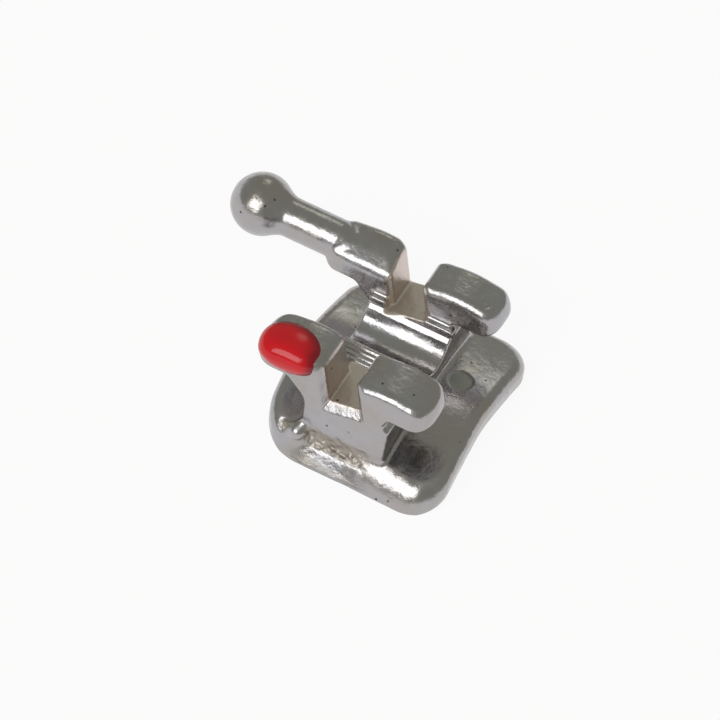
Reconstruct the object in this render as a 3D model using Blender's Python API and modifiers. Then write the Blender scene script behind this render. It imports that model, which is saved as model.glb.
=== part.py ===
"""Orthodontic bracket: a moulded steel twin bracket with a ball hook, and its red enamel mark.

The script works in millimetres, and one empty scales everything to metres.
X runs from the gums (hook side, negative) to the biting edge (positive), Y along the arch wire
and Z away from the tooth. The origin is the centre of the bonding base.
"""

import math

import bmesh
import bpy
from mathutils import Matrix, Vector

MM = 0.001

# Slot for the arch wire
SLOT_WIDTH = 0.56
SLOT_TORQUE = math.radians(12.5)
SLOT_RISE = 1.05
SLOT_OFFSET = -0.385
SLOT_MOUTH_CHAMFER = 0.10
SLOT_END_RUN = 0.12
SLOT_END_FLARE = 0.11
SLOT_END_DROP = 0.20
SLOT_CORNER_RUN = 0.08
SLOT_CORNER_FLARE = 0.07

# Body and the four tie wings, measured from the slot
BODY_LENGTH = 3.20
BODY_OCCLUSAL = 0.86
BODY_GINGIVAL = 0.66
WING_TOP = 0.80
GINGIVAL_REACH = 1.67
WING_LIP_RADIUS = 0.26
WING_TIP_RADIUS = 0.30
WING_CROWN = 0.13
WING_CROWN_RADIUS = 1.60
WING_PLAN_RADIUS = 0.44
WING_EDGE_RADIUS = 0.19
GROOVE_DEPTH = 0.12
GROOVE_FLOOR = 0.04
GROOVE_ROOT_RADIUS = 0.05
GROOVE_LIP_INSET = 0.04
STEM_REACH = 0.36
STEM_DROP = 0.37
STEM_RADIUS = 0.42

# The front and the back row of wings
FRONT_WING_LENGTH = 0.92
FRONT_OCCLUSAL_REACH = 1.51
FRONT_GINGIVAL_LIP = 0.22
FRONT_OCCLUSAL_LIP = 0.22
BACK_WING_LENGTH = 0.78
BACK_OCCLUSAL_REACH = 1.59
BACK_GINGIVAL_LIP = 0.12
BACK_OCCLUSAL_LIP = 0.17

# Trough between the front and the back wings
TROUGH_LEDGE = 0.12
TROUGH_LEDGE_RISE = 0.10
TROUGH_BEVEL = 0.08
TROUGH_RIM_DROP = 0.10
TROUGH_STEP = 0.03
TROUGH_LEDGE_RADIUS = 0.03
TROUGH_SAG = 0.30
TROUGH_INSET = 0.015

# Pad that is bonded to the tooth
PAD_WIDTH = 3.21
PAD_LENGTH = 3.94
PAD_THICKNESS = 0.43
PAD_CORNER = 0.64
PAD_WAIST = 0.11
PAD_BULGE = 0.20
PAD_BULGE_ROOT = 0.05
PAD_TOOTH_RADIUS = 5.50
PAD_RIM_RADIUS = 0.20
PAD_HEEL_RADIUS = 0.05
PAD_LAND = 0.08
EJECTOR_RADIUS = 0.21
EJECTOR_DEPTH = 0.025
EJECTOR_REACH = 0.83
EJECTOR_ALONG = 0.48

# Retention posts under the pad
RETENTION_BORDER = 0.26
RETENTION_DEPTH = 0.14
POST_PITCH = 0.44
POST_NECK = 0.20
POST_HEAD = 0.26
POST_ROOT = 0.10

# Ball hook on the gum-side back wing
HOOK_SHAFT_RADIUS = 0.34
HOOK_BALL_RADIUS = 0.53
HOOK_REACH = 2.94
HOOK_DROP = 0.34
HOOK_SHOULDER_RUN = 0.45
HOOK_SHOULDER_FALL = 0.26
HOOK_SHOULDER_RADIUS = 0.10
HOOK_NECK_RADIUS = 0.10
HOOK_ROOT = 1.00
HOOK_ROOT_TAPER = 0.50
HOOK_ROOT_RADIUS = 0.20

# Enamel mark on the gum-side front wing
MARK_THICKNESS = 0.07
MARK_GAP = 0.012
MARK_LENGTH = 1.08
MARK_WIDTH = 1.28
MARK_HEIGHT = 0.74
MARK_SINK = 0.19
MARK_FORWARD = 0.25

# Fineness of round shapes
ARC_STEP = math.radians(15)
BALL_STEP = math.radians(10)
TURNED_STEPS = 32
PAD_RINGS = 5
PAD_SIDE = 0.28
MOST_OF_SIDE = 0.49

# How far a cutter or an outline goes past the surface that it cuts
REACH_PAST = 1.0
PLAN_PAST = 0.01

BODY_END = BODY_LENGTH / 2
BACK_TROUGH = BODY_END - BACK_WING_LENGTH
FRONT_TROUGH = -BODY_END + FRONT_WING_LENGTH
WING_Z = SLOT_RISE + WING_TOP
CROWN_FOOT = WING_Z - WING_CROWN
GINGIVAL_TIP = SLOT_OFFSET - GINGIVAL_REACH
OCCLUSAL_SIDE = SLOT_OFFSET + BODY_OCCLUSAL
GINGIVAL_SIDE = SLOT_OFFSET - BODY_GINGIVAL


def clear_scene():
    for obj in list(bpy.data.objects):
        bpy.data.objects.remove(obj, do_unlink=True)


def new_collection(name):
    collection = bpy.data.collections.new(name)
    bpy.context.scene.collection.children.link(collection)
    return collection


def new_material(name, colour, metallic, roughness):
    material = bpy.data.materials.new(name)
    material.use_nodes = True
    shader = material.node_tree.nodes["Principled BSDF"]
    shader.inputs["Base Color"].default_value = (*colour, 1.0)
    shader.inputs["Metallic"].default_value = metallic
    shader.inputs["Roughness"].default_value = roughness
    return material


def add_object(name, mesh, collection, frame, cutter=False):
    obj = bpy.data.objects.new(name, mesh)
    collection.objects.link(obj)
    obj.parent = frame
    if cutter:
        obj.hide_render = True
        obj.display_type = "WIRE"
    return obj


def boolean(target, operation, other):
    modifier = target.modifiers.new(f"{operation.lower()}_{other.name}", "BOOLEAN")
    modifier.operation = operation
    modifier.solver = "EXACT"
    modifier.object = other


def round_corners(corners):
    """Points of a closed outline, from (u, v, radius) corners: each radius becomes an arc."""
    points = []
    count = len(corners)
    for i, (u, v, radius) in enumerate(corners):
        here = Vector((u, v))
        to_last = Vector(corners[i - 1][:2]) - here
        to_next = Vector(corners[(i + 1) % count][:2]) - here
        turn = to_last.angle(to_next)
        if radius <= 0 or math.isclose(turn, math.pi, abs_tol=1e-2):
            points.append(here)
            continue
        half = turn / 2
        most = MOST_OF_SIDE * min(to_last.length, to_next.length) * math.tan(half)
        radius = min(radius, most)
        setback = radius / math.tan(half)
        start = here + to_last.normalized() * setback
        centre = here + (to_last.normalized() + to_next.normalized()).normalized() * (
            radius / math.sin(half)
        )
        sweep = math.pi - turn
        side = 1 if to_last.cross(to_next) < 0 else -1
        steps = max(2, round(sweep / ARC_STEP))
        for k in range(steps + 1):
            angle = side * sweep * k / steps
            points.append(centre + Matrix.Rotation(angle, 2) @ (start - centre))
    return points


def grown(points, amount):
    """The outline moved outwards, for a counter-clockwise list of points."""
    result = []
    for i, point in enumerate(points):
        before = (point - points[i - 1]).normalized()
        after = (points[(i + 1) % len(points)] - point).normalized()
        along = (before + after).normalized()
        outward = Vector((along.y, -along.x))
        stretch = Vector((before.y, -before.x)).dot(outward)
        result.append(point + outward * (amount / stretch))
    return result


def prism(name, outline, low, high, plane):
    """A flat outline extruded from low to high, across the plane XZ, YZ or XY."""
    curve = bpy.data.curves.new(name, "CURVE")
    curve.dimensions = "2D"
    curve.fill_mode = "BOTH"
    curve.extrude = (high - low) / 2
    spline = curve.splines.new("POLY")
    spline.points.add(len(outline) - 1)
    for point, place in zip(spline.points, outline):
        point.co = (place[0], place[1], 0, 1)
    spline.use_cyclic_u = True
    guide = bpy.data.objects.new(name, curve)
    bpy.context.scene.collection.objects.link(guide)
    evaluated = guide.evaluated_get(bpy.context.evaluated_depsgraph_get())
    mesh = bpy.data.meshes.new_from_object(evaluated)
    bpy.data.objects.remove(guide, do_unlink=True)
    middle = (low + high) / 2
    turns = {
        "XZ": Matrix(((1, 0, 0, 0), (0, 0, -1, middle), (0, 1, 0, 0), (0, 0, 0, 1))),
        "YZ": Matrix(((0, 0, 1, middle), (1, 0, 0, 0), (0, 1, 0, 0), (0, 0, 0, 1))),
        "XY": Matrix.Translation((0, 0, middle)),
    }
    mesh.transform(turns[plane])
    shape = bmesh.new()
    shape.from_mesh(mesh)
    bmesh.ops.remove_doubles(shape, verts=shape.verts, dist=1e-5)
    bmesh.ops.recalc_face_normals(shape, faces=shape.faces)
    shape.to_mesh(mesh)
    shape.free()
    return mesh


def tooth_drop(y):
    """How far the pad has curved down at this distance from its middle."""
    radius = max(PAD_TOOTH_RADIUS, PAD_LENGTH / 2)
    return radius - math.sqrt(max(0.0, radius**2 - y**2))


def pad_foot():
    """Height of the flat lands at the pad's two ends, which it stands on off the tooth."""
    return -tooth_drop(PAD_LENGTH / 2 - PAD_HEEL_RADIUS - PAD_LAND)


def pad_outline():
    """The pad seen from above: a waist on the biting side and a bulge on the gum side."""
    half_x = PAD_WIDTH / 2
    half_y = PAD_LENGTH / 2
    gum_side = -half_x - PAD_BULGE_ROOT
    corners = [
        (gum_side, -half_y, PAD_CORNER),
        (half_x, -half_y, PAD_CORNER),
        (half_x - PAD_WAIST, 0, PAD_LENGTH),
        (half_x, half_y, PAD_CORNER),
        (gum_side, half_y, PAD_CORNER),
        (gum_side - PAD_BULGE, 0, PAD_LENGTH),
    ]
    return round_corners(corners)


def densified(points, longest):
    """The same outline with no side longer than the given length."""
    result = []
    for i, point in enumerate(points):
        after = points[(i + 1) % len(points)]
        pieces = max(1, math.ceil((after - point).length / longest))
        result += [point.lerp(after, k / pieces) for k in range(pieces)]
    return result


def fillet_profile(low, high, low_radius, high_radius):
    """(inset, height) pairs up a wall whose lower and upper edges are rounded."""
    steps = round(math.pi / 2 / ARC_STEP)
    pairs = []
    for k in range(steps + 1 if low_radius > 0 else 1):
        angle = math.pi / 2 * k / steps
        pairs.append((low_radius * (1 - math.sin(angle)), low + low_radius * (1 - math.cos(angle))))
    for k in range(steps if high_radius > 0 else 0, -1, -1):
        angle = math.pi / 2 * k / steps
        pairs.append((high_radius * (1 - math.sin(angle)), high - high_radius * (1 - math.cos(angle))))
    return pairs


def curved_slab(name, inset, low, high, low_radius, high_radius, foot=-math.inf):
    """A slab with the pad's outline, moved in by inset, that follows the tooth's curve.

    It is flat where it would reach below the foot.
    """
    outline = densified(pad_outline(), PAD_SIDE)
    walls = fillet_profile(low, high, low_radius, high_radius)
    levels = [(*walls[0], k / PAD_RINGS) for k in range(1, PAD_RINGS)]
    levels += [(*wall, 1.0) for wall in walls]
    levels += [(*walls[-1], k / PAD_RINGS) for k in range(PAD_RINGS - 1, 0, -1)]
    shape = bmesh.new()
    rings = []
    for move_in, height, share in levels:
        scale_x = share * (1 - (inset + move_in) / (PAD_WIDTH / 2))
        scale_y = share * (1 - (inset + move_in) / (PAD_LENGTH / 2))
        ring = []
        for point in outline:
            x, y = point.x * scale_x, point.y * scale_y
            ring.append(shape.verts.new((x, y, max(foot, height - tooth_drop(y)))))
        rings.append(ring)
    count = len(outline)
    for lower, upper in zip(rings, rings[1:]):
        for i in range(count):
            j = (i + 1) % count
            shape.faces.new((lower[i], lower[j], upper[j], upper[i]))
    for ring, height in ((rings[0], low), (rings[-1], high)):
        middle = shape.verts.new((0, 0, height))
        for i in range(count):
            shape.faces.new((ring[i], ring[(i + 1) % count], middle))
    bmesh.ops.recalc_face_normals(shape, faces=shape.faces)
    mesh = bpy.data.meshes.new(name)
    shape.to_mesh(mesh)
    shape.free()
    return mesh


def loft(name, sections):
    """A closed body through rows of points, each row a closed section of as many points."""
    shape = bmesh.new()
    rows = [[shape.verts.new(p) for p in section] for section in sections]
    count = len(rows[0])
    for first, second in zip(rows, rows[1:]):
        for i in range(count):
            j = (i + 1) % count
            shape.faces.new((first[i], first[j], second[j], second[i]))
    shape.faces.new(rows[0])
    shape.faces.new(rows[-1])
    bmesh.ops.recalc_face_normals(shape, faces=shape.faces)
    mesh = bpy.data.meshes.new(name)
    shape.to_mesh(mesh)
    shape.free()
    return mesh


def front_outline(occlusal_tip, occlusal_lip, gingival_lip):
    """A row seen along the arch wire: body, grooves, lips and wing tips, without the slot."""
    low = PAD_THICKNESS / 2 - tooth_drop(BODY_END)
    groove = SLOT_RISE + GROOVE_FLOOR
    right_lip = SLOT_RISE + occlusal_lip
    left_lip = SLOT_RISE + gingival_lip
    return round_corners([
        (GINGIVAL_SIDE, low, 0),
        (OCCLUSAL_SIDE, low, 0),
        (OCCLUSAL_SIDE, groove - GROOVE_DEPTH, GROOVE_ROOT_RADIUS),
        (OCCLUSAL_SIDE - GROOVE_DEPTH, groove, GROOVE_ROOT_RADIUS),
        (OCCLUSAL_SIDE - GROOVE_LIP_INSET, right_lip, GROOVE_ROOT_RADIUS),
        (occlusal_tip, right_lip, WING_LIP_RADIUS),
        (occlusal_tip, CROWN_FOOT, WING_TIP_RADIUS),
        ((occlusal_tip + SLOT_OFFSET) / 2, WING_Z, WING_CROWN_RADIUS),
        (SLOT_OFFSET, CROWN_FOOT, 0),
        ((GINGIVAL_TIP + SLOT_OFFSET) / 2, WING_Z, WING_CROWN_RADIUS),
        (GINGIVAL_TIP, CROWN_FOOT, WING_TIP_RADIUS),
        (GINGIVAL_TIP, left_lip, WING_LIP_RADIUS),
        (GINGIVAL_SIDE - STEM_REACH, left_lip, GROOVE_DEPTH),
        (GINGIVAL_SIDE, left_lip - STEM_DROP, STEM_RADIUS),
    ])


def trough_arc(front_rim, back_rim, rim):
    """The trough's hollow bottom, from its back rim to its front rim."""
    span = back_rim - front_rim
    radius = span**2 / (8 * TROUGH_SAG) + TROUGH_SAG / 2
    half_sweep = math.asin(span / 2 / radius)
    middle = Vector(((front_rim + back_rim) / 2, rim - TROUGH_SAG + radius))
    steps = 2 * round(2 * half_sweep / ARC_STEP)
    arc = []
    for k in range(1, steps):
        turn = Matrix.Rotation(half_sweep * (1 - 2 * k / steps), 2)
        arc.append((*(middle + turn @ Vector((0, -radius))), 0))
    return arc


def trough_outline():
    """The body between the rows, seen across the slot: stepped ledges and the hollow."""
    low = PAD_THICKNESS / 2 - tooth_drop(BODY_END)
    ledge = SLOT_RISE + TROUGH_LEDGE_RISE
    step = SLOT_RISE - TROUGH_STEP
    rim = SLOT_RISE - TROUGH_RIM_DROP
    front_ledge = FRONT_TROUGH + TROUGH_LEDGE
    back_ledge = BACK_TROUGH - TROUGH_LEDGE
    front_rim = front_ledge + TROUGH_BEVEL
    back_rim = back_ledge - TROUGH_BEVEL
    inside = BODY_END - TROUGH_LEDGE
    return round_corners([
        (-inside, low, 0),
        (inside, low, 0),
        (inside, ledge, 0),
        (back_ledge, ledge, TROUGH_LEDGE_RADIUS),
        (back_ledge, step, 0),
        (back_rim, rim, 0),
        *trough_arc(front_rim, back_rim, rim),
        (front_rim, rim, 0),
        (front_ledge, step, 0),
        (front_ledge, ledge, TROUGH_LEDGE_RADIUS),
        (-inside, ledge, 0),
    ])


def row_outline(start, end):
    """A row seen across the slot, with rounded upper edges."""
    low = -REACH_PAST
    return round_corners([
        (start, low, 0),
        (end, low, 0),
        (end, WING_Z, WING_EDGE_RADIUS),
        (start, WING_Z, WING_EDGE_RADIUS),
    ])


def plan_outline(start, end, occlusal_tip):
    """A row seen from above, with rounded tips.

    It goes a hair past the other two outlines, so that no two flat faces coincide.
    """
    left = GINGIVAL_TIP - PLAN_PAST
    right = occlusal_tip + PLAN_PAST
    near = start - PLAN_PAST
    far = end + PLAN_PAST
    tip = WING_PLAN_RADIUS
    return round_corners([(left, near, tip), (right, near, tip), (right, far, tip), (left, far, tip)])


def cut_to_row(row, start, end, occlusal_tip, cutters, frame):
    """Cut a prism of a row's outline to how the row looks from the side and from above."""
    past = REACH_PAST
    left = GINGIVAL_TIP - past
    right = occlusal_tip + past
    side = prism(f"{row.name}_side", row_outline(start, end), left, right, "YZ")
    seen_from_above = plan_outline(start, end, occlusal_tip)
    plan = prism(f"{row.name}_plan", seen_from_above, -past, WING_Z + past, "XY")
    for mesh in (side, plan):
        boolean(row, "INTERSECT", add_object(mesh.name, mesh, cutters, frame, cutter=True))


def marked_wing_prisms(name, grow):
    """The same for the gum-side front wing alone, with its surfaces moved out by grow."""
    lip = SLOT_RISE + FRONT_GINGIVAL_LIP
    seen_from_front = round_corners([
        (GINGIVAL_TIP, lip, WING_LIP_RADIUS),
        (SLOT_OFFSET, lip, 0),
        (SLOT_OFFSET, CROWN_FOOT, 0),
        ((GINGIVAL_TIP + SLOT_OFFSET) / 2, WING_Z, WING_CROWN_RADIUS),
        (GINGIVAL_TIP, CROWN_FOOT, WING_TIP_RADIUS),
    ])
    seen_from_side = round_corners([
        (-BODY_END, SLOT_RISE, 0),
        (FRONT_TROUGH, SLOT_RISE, 0),
        (FRONT_TROUGH, WING_Z, WING_EDGE_RADIUS),
        (-BODY_END, WING_Z, WING_EDGE_RADIUS),
    ])
    seen_from_above = round_corners([
        (GINGIVAL_TIP, -BODY_END, WING_PLAN_RADIUS),
        (SLOT_OFFSET, -BODY_END, 0),
        (SLOT_OFFSET, FRONT_TROUGH, 0),
        (GINGIVAL_TIP, FRONT_TROUGH, WING_PLAN_RADIUS),
    ])
    past = REACH_PAST
    near = -BODY_END - past
    left = GINGIVAL_TIP - past
    front = prism(f"{name}_front", grown(seen_from_front, grow), near, past, "XZ")
    side = prism(f"{name}_side", grown(seen_from_side, grow), left, SLOT_OFFSET, "YZ")
    plan = prism(f"{name}_plan", grown(seen_from_above, grow), 0, WING_Z + past, "XY")
    return front, side, plan


def slot_section(y, side_flare, floor_drop):
    """The slot's section at y, turned by the torque about the middle of its floor."""
    half = SLOT_WIDTH / 2
    chamfer = SLOT_MOUTH_CHAMFER
    lean = math.tan(SLOT_TORQUE)
    left_wall = (WING_TOP + (half + lean * WING_TOP) * lean) * math.cos(SLOT_TORQUE)
    right_wall = (WING_TOP - (half - lean * WING_TOP) * lean) * math.cos(SLOT_TORQUE)
    section = [
        (-half - side_flare, -floor_drop),
        (half + side_flare, -floor_drop),
        (half + side_flare, right_wall - chamfer),
        (half + side_flare + 2 * chamfer, right_wall + chamfer),
        (half + side_flare + 2 * chamfer, WING_TOP + REACH_PAST),
        (-half - side_flare - 2 * chamfer, WING_TOP + REACH_PAST),
        (-half - side_flare - 2 * chamfer, left_wall + chamfer),
        (-half - side_flare, left_wall - chamfer),
    ]
    turn = Matrix.Rotation(SLOT_TORQUE, 2)
    flat = [turn @ Vector(place) for place in section]
    return [(SLOT_OFFSET + u, y, SLOT_RISE + v) for u, v in flat]


def slot_cutter():
    end = BODY_END
    flare = SLOT_END_FLARE
    drop = SLOT_END_DROP
    corner = SLOT_CORNER_FLARE
    run = SLOT_CORNER_RUN
    return loft("slot_cutter", [
        slot_section(-end - REACH_PAST, flare, drop),
        slot_section(-end, flare, drop),
        slot_section(-end + SLOT_END_RUN, 0, 0),
        slot_section(FRONT_TROUGH - run, 0, 0),
        slot_section(FRONT_TROUGH, corner, 0),
        slot_section(BACK_TROUGH, corner, 0),
        slot_section(BACK_TROUGH + run, 0, 0),
        slot_section(end - SLOT_END_RUN, 0, 0),
        slot_section(end, flare, drop),
        slot_section(end + REACH_PAST, flare, drop),
    ])


def hook_axis():
    """(y, z) of the hook's axis: along the middle of its wing, a little below the top."""
    return (BACK_TROUGH + BODY_END) / 2, WING_Z - HOOK_DROP


def hook_profile():
    """(distance from the ball's centre, radius) along the hook: ball, neck and shaft."""
    ball = HOOK_BALL_RADIUS
    shaft = min(HOOK_SHAFT_RADIUS, ball)
    neck = HOOK_NECK_RADIUS
    run = math.sqrt((ball + neck) ** 2 - (shaft + neck) ** 2)
    meet = math.atan2(shaft + neck, run)
    profile = [(-ball, 0.0)]
    steps = round((math.pi - meet) / BALL_STEP)
    for k in range(1, steps + 1):
        angle = math.pi - (math.pi - meet) * k / steps
        profile.append((ball * math.cos(angle), ball * math.sin(angle)))
    steps = max(2, round(meet / ARC_STEP))
    for k in range(1, steps + 1):
        angle = math.pi + meet + (math.pi / 2 - meet) * k / steps
        profile.append((run + neck * math.cos(angle), shaft + neck + neck * math.sin(angle)))
    root = HOOK_REACH - HOOK_ROOT
    return profile + [(root - HOOK_ROOT_TAPER, shaft), (root, HOOK_ROOT_RADIUS), (root, 0.0)]


def hook_object(collection, frame):
    """Ball, neck and shaft turned about the hook's axis, from the ball's pole to inside the body."""
    profile = hook_profile()
    mesh = bpy.data.meshes.new("hook")
    edges = [(i, i + 1) for i in range(len(profile) - 1)]
    mesh.from_pydata([(radius, 0, -along) for along, radius in profile], edges, [])
    obj = add_object("hook", mesh, collection, frame, cutter=True)
    y, z = hook_axis()
    obj.location = (SLOT_OFFSET - HOOK_REACH, y, z)
    obj.rotation_euler = (0, -math.pi / 2, 0)
    screw = obj.modifiers.new("turn", "SCREW")
    screw.steps = TURNED_STEPS
    screw.render_steps = TURNED_STEPS
    screw.use_merge_vertices = True
    screw.merge_threshold = 1e-4
    screw.use_normal_calculate = True
    return obj


def shoulder_cutter():
    """What is taken off the hook wing's inner top edge, so that it slopes towards the trough."""
    near = BACK_TROUGH
    far = BACK_TROUGH + HOOK_SHOULDER_RUN
    corner = WING_Z - HOOK_SHOULDER_FALL
    low = corner - 2 * HOOK_SHOULDER_RADIUS
    outside = BACK_TROUGH - TROUGH_LEDGE
    above = WING_Z + REACH_PAST
    outline = round_corners([
        (outside, low, 0),
        (near, low, 0),
        (near, corner, HOOK_SHOULDER_RADIUS),
        (far, WING_Z, HOOK_SHOULDER_RADIUS),
        (BODY_END, WING_Z, 0),
        (BODY_END, above, 0),
        (outside, above, 0),
    ])
    return prism("hook_shoulder", outline, GINGIVAL_TIP - REACH_PAST, SLOT_OFFSET, "YZ")


def post_mesh():
    """Posts that widen towards their tips, on a grid with one at the pad's middle."""
    shape = bmesh.new()
    inner_x = PAD_WIDTH / 2 - RETENTION_BORDER
    inner_y = PAD_LENGTH / 2 - RETENTION_BORDER
    corner = max(0.0, PAD_CORNER - RETENTION_BORDER)
    columns = int((inner_x - POST_HEAD) / POST_PITCH)
    rows = int((inner_y - POST_HEAD) / POST_PITCH)
    for column in range(-columns, columns + 1):
        for row in range(-rows, rows + 1):
            x = column * POST_PITCH
            y = row * POST_PITCH
            past_x = abs(x) + POST_HEAD / 2 - (inner_x - corner)
            past_y = abs(y) + POST_HEAD / 2 - (inner_y - corner)
            if past_x > 0 and past_y > 0 and math.hypot(past_x, past_y) > corner:
                continue
            low = -tooth_drop(y)
            high = low + RETENTION_DEPTH + POST_ROOT
            made = bmesh.ops.create_cube(shape, size=1.0)["verts"]
            for vert in made:
                width = POST_HEAD if vert.co.z < 0 else POST_NECK
                vert.co.x = x + vert.co.x * width
                vert.co.y = y + vert.co.y * width
                vert.co.z = low if vert.co.z < 0 else high
    mesh = bpy.data.meshes.new("posts")
    shape.to_mesh(mesh)
    shape.free()
    return mesh


def ejector_mesh():
    shape = bmesh.new()
    bmesh.ops.create_cone(
        shape,
        cap_ends=True,
        segments=TURNED_STEPS,
        radius1=EJECTOR_RADIUS,
        radius2=EJECTOR_RADIUS,
        depth=2 * EJECTOR_DEPTH,
        matrix=Matrix.Translation(
            (EJECTOR_REACH, EJECTOR_ALONG, PAD_THICKNESS - tooth_drop(EJECTOR_ALONG))
        ),
    )
    mesh = bpy.data.meshes.new("ejector_mark")
    shape.to_mesh(mesh)
    shape.free()
    return mesh


def make_pad(cutters, frame):
    """The pad with its curve, its recess and posts for the adhesive, and the ejector's mark."""
    slab = curved_slab("pad", 0, 0, PAD_THICKNESS, PAD_HEEL_RADIUS, PAD_RIM_RADIUS, pad_foot())
    pad = add_object("pad", slab, cutters, frame, cutter=True)
    low = -REACH_PAST
    recess = curved_slab("retention_recess", RETENTION_BORDER, low, RETENTION_DEPTH, 0, 0)
    boolean(pad, "DIFFERENCE", add_object("retention_recess", recess, cutters, frame, cutter=True))
    boolean(pad, "UNION", add_object("posts", post_mesh(), cutters, frame, cutter=True))
    mark = add_object("ejector_mark", ejector_mesh(), cutters, frame, cutter=True)
    boolean(pad, "DIFFERENCE", mark)
    return pad


def make_bracket(collection, cutters, frame, steel):
    """The one moulded piece: body and wings, hook, slot and pad."""
    past = REACH_PAST
    tip = SLOT_OFFSET + FRONT_OCCLUSAL_REACH
    outline = front_outline(tip, FRONT_OCCLUSAL_LIP, FRONT_GINGIVAL_LIP)
    front = prism("bracket", outline, -BODY_END - past, FRONT_TROUGH + past, "XZ")
    bracket = add_object("bracket", front, collection, frame)
    cut_to_row(bracket, -BODY_END, FRONT_TROUGH, tip, cutters, frame)
    tip = SLOT_OFFSET + BACK_OCCLUSAL_REACH
    outline = front_outline(tip, BACK_OCCLUSAL_LIP, BACK_GINGIVAL_LIP)
    back = prism("back_row", outline, BACK_TROUGH - past, BODY_END + past, "XZ")
    back_row = add_object("back_row", back, cutters, frame, cutter=True)
    cut_to_row(back_row, BACK_TROUGH, BODY_END, tip, cutters, frame)
    boolean(bracket, "UNION", back_row)
    left = GINGIVAL_SIDE + TROUGH_INSET
    right = OCCLUSAL_SIDE - TROUGH_INSET
    middle = prism("trough", trough_outline(), left, right, "YZ")
    boolean(bracket, "UNION", add_object("trough", middle, cutters, frame, cutter=True))
    shoulder = add_object("hook_shoulder", shoulder_cutter(), cutters, frame, cutter=True)
    boolean(bracket, "DIFFERENCE", shoulder)
    boolean(bracket, "UNION", hook_object(cutters, frame))
    slot = add_object("slot_cutter", slot_cutter(), cutters, frame, cutter=True)
    boolean(bracket, "DIFFERENCE", slot)
    boolean(bracket, "UNION", make_pad(cutters, frame))
    bracket.data.materials.append(steel)
    return bracket


def make_mark(collection, cutters, frame, enamel):
    """A film of enamel over the gum-side front wing: a rounded drop less the wing itself."""
    shape = bmesh.new()
    bmesh.ops.create_uvsphere(shape, u_segments=TURNED_STEPS, v_segments=TURNED_STEPS // 2, radius=1)
    mesh = bpy.data.meshes.new("id_mark")
    shape.to_mesh(mesh)
    shape.free()
    place = Matrix.Translation((
        GINGIVAL_TIP + MARK_WIDTH / 2 - MARK_THICKNESS,
        (FRONT_TROUGH - BODY_END) / 2 - MARK_FORWARD,
        WING_Z - MARK_SINK,
    ))
    size = Matrix.Diagonal((MARK_WIDTH / 2, MARK_LENGTH / 2, MARK_HEIGHT / 2, 1))
    mesh.transform(place @ size)
    mark = add_object("id_mark", mesh, collection, frame)
    for shape_mesh in marked_wing_prisms("mark", MARK_THICKNESS):
        cover = add_object(shape_mesh.name, shape_mesh, cutters, frame, cutter=True)
        boolean(mark, "INTERSECT", cover)
    front, side, plan = marked_wing_prisms("wing", MARK_GAP)
    wing = add_object("wing_clearance", front, cutters, frame, cutter=True)
    boolean(wing, "INTERSECT", add_object("wing_side", side, cutters, frame, cutter=True))
    boolean(wing, "INTERSECT", add_object("wing_plan", plan, cutters, frame, cutter=True))
    boolean(mark, "DIFFERENCE", wing)
    mark.data.materials.append(enamel)
    return mark


def main():
    clear_scene()
    collection = new_collection("orthodontic_bracket")
    cutters = new_collection("bracket_cutters")
    frame = bpy.data.objects.new("millimetres", None)
    frame.scale = (MM, MM, MM)
    collection.objects.link(frame)
    steel = new_material("moulded_steel", (0.45, 0.44, 0.41), 1.0, 0.22)
    enamel = new_material("red_enamel", (0.55, 0.01, 0.02), 0.0, 0.2)
    make_bracket(collection, cutters, frame, steel)
    make_mark(collection, cutters, frame, enamel)


main()
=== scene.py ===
"""Looks of a moulded steel orthodontic bracket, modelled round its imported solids.

Sizes in the classes are in millimetres, as bracket makers give them, and every mesh is in metres.
X runs from the gums to the biting edge, Y along the arch wire and Z away from the tooth.
"""

import logging
import math
from collections.abc import Callable
from dataclasses import dataclass, field
from enum import Enum

import bpy
import numpy as np
from mathutils import Matrix, Vector

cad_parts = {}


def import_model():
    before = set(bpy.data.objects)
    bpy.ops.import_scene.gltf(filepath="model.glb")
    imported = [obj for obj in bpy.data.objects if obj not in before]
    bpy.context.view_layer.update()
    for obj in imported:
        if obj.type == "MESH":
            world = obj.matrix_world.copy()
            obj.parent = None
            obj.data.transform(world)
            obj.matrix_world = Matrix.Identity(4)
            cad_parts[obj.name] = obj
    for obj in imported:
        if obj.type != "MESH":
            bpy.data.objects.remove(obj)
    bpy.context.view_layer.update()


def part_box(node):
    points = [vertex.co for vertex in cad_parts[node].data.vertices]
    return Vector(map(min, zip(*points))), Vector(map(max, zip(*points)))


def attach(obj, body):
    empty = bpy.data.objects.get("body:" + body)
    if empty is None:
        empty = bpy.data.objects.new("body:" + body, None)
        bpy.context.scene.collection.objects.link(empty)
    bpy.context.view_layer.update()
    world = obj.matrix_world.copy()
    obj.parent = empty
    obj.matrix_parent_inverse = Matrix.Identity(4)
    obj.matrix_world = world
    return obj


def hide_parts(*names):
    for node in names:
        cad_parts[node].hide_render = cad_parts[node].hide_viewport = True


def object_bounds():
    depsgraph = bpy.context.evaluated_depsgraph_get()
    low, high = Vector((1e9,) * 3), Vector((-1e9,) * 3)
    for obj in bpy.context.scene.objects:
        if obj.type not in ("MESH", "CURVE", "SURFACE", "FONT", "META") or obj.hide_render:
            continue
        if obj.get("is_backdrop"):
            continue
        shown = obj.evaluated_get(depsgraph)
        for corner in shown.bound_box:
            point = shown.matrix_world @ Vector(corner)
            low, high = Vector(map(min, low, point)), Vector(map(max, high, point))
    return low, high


MM = 0.001
BODY = "root"
WHITE = (1.0, 1.0, 1.0, 1.0)

Array = np.ndarray
Field = Callable[[Array, Array, Array], Array]

log = logging.getLogger("bracket")


class Side(Enum):
    """The two sides of the slot, with the sign of X."""

    GINGIVAL = -1
    OCCLUSAL = 1


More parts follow.
